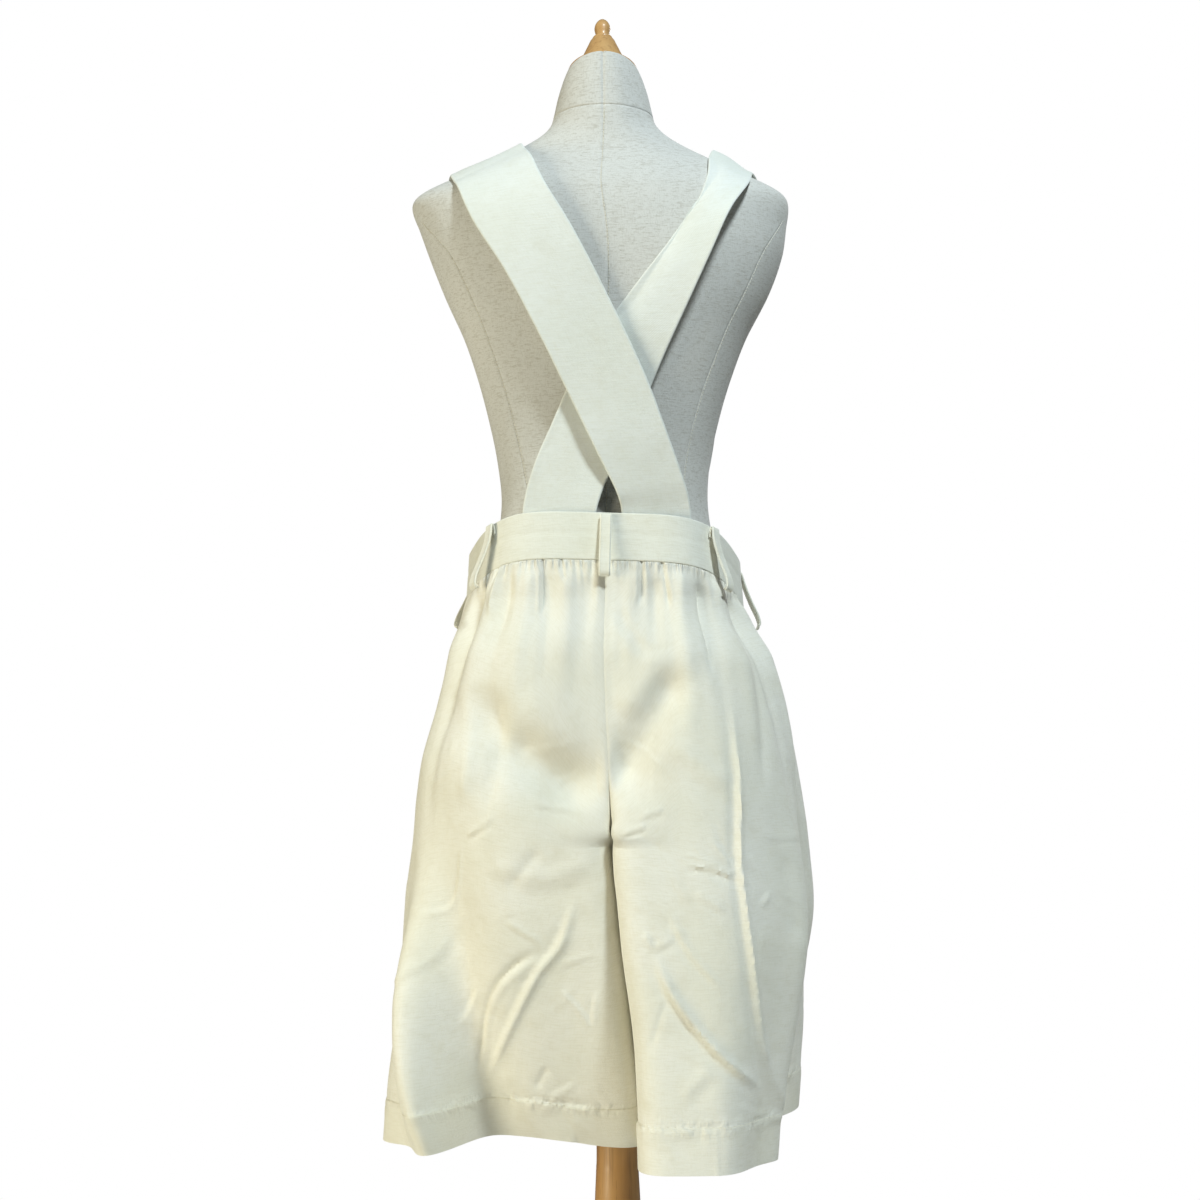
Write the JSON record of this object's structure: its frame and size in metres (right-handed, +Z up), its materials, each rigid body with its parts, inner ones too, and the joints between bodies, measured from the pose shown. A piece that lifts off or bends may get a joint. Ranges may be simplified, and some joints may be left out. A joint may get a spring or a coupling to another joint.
{
  "type": "suspender shorts on a limbless dress form with a stand",
  "caption": "Wide gathered cream shorts with a waistband and crossed shoulder straps, worn by a limbless linen dress form on a turned wooden stand.",
  "frame": {"origin": "centre of the stand base's underside, on the floor", "axes": "+Z up along the stand, the back of the garment faces -Y, the wearer's left is on -X"},
  "size_m": [0.4395, 0.39, 1.5389],
  "materials": {
    "cloth": "matte cotton twill",
    "strap": "matte cotton twill, doubled",
    "band": "matte cotton twill, stiffened",
    "linen": "heathered linen over a hard form",
    "wood": "clear varnished turned wood",
    "button": "satin"
  },
  "bodies": {
    "root": {"back_left": "cloth", "back_right": "cloth", "front_left": "cloth", "front_right": "cloth", "strap_left": "strap", "strap_right": "strap", "band_back": "band", "band_front_left": "band", "band_front_right": "band", "loop_back": "cloth", "loop_back_left": "cloth", "loop_back_right": "cloth", "loop_side_left": "cloth", "loop_side_right": "cloth", "band_button": "button", "form_torso": "linen", "neck_cap": "wood", "finial": "wood", "stand_pole": "wood", "stand_base": "wood"}
  },
  "joints": []
}
